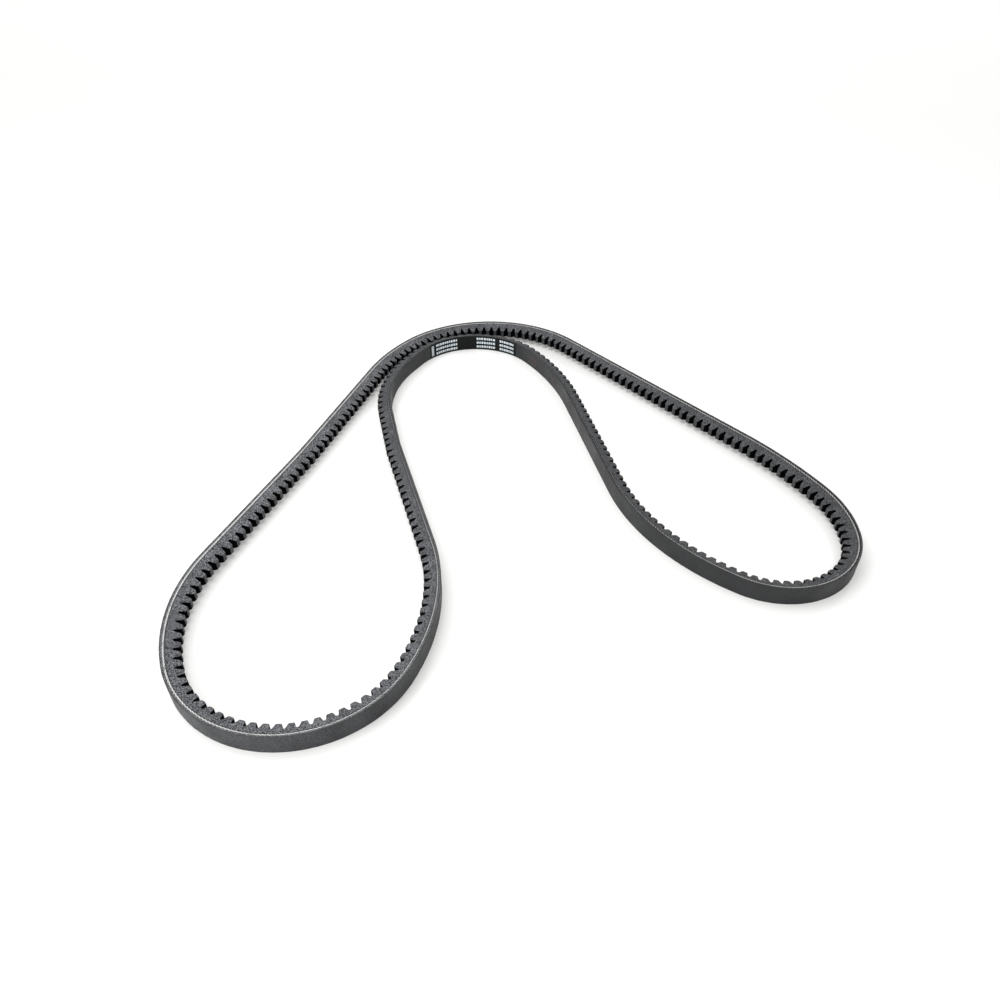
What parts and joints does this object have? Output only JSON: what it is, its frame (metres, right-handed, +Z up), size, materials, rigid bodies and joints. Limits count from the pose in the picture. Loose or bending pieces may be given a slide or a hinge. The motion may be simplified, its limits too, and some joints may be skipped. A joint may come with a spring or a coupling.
{
  "type": "v belt",
  "caption": "Endless raw-edge moulded-cog narrow V belt lying on its edge as a slack kidney-shaped loop, with fabric back, exposed cord line and cogged inner side.",
  "frame": {"origin": "centre of the loop's outline on the plane the belt rests on", "axes": "+Z up, across the belt's width; the loop lies in the XY plane with its reverse bend towards +Y and both lobes towards -Y"},
  "size_m": [0.5159, 0.5308, 0.0163],
  "materials": {
    "cover_fabric": "woven, rubber-coated",
    "ply_fabric": "cut edge of woven ply",
    "overcord_rubber": "cut",
    "undercord_rubber": "cut",
    "compression_rubber": "cut flanks, fibre-loaded",
    "tensile_cord": "twisted polyester",
    "panel_print": "transfer print",
    "bar_print": "transfer print"
  },
  "bodies": {
    "root": {"back_fabric_outer_ply": "cover_fabric", "back_fabric_inner_ply": "ply_fabric", "overcord_rubber": "overcord_rubber", "undercord_rubber": "undercord_rubber", "compression_rubber": "compression_rubber", "printed_panel": "panel_print", "printed_bars_01": "bar_print", "printed_bars_02": "bar_print", "printed_bars_03": "bar_print", "printed_bars_04": "bar_print", "tensile_cord_turn_01": "tensile_cord", "tensile_cord_turn_02": "tensile_cord", "tensile_cord_turn_03": "tensile_cord", "tensile_cord_turn_04": "tensile_cord", "tensile_cord_turn_05": "tensile_cord", "tensile_cord_turn_06": "tensile_cord", "tensile_cord_turn_07": "tensile_cord", "tensile_cord_turn_08": "tensile_cord", "tensile_cord_turn_09": "tensile_cord", "tensile_cord_turn_10": "tensile_cord"}
  },
  "joints": []
}
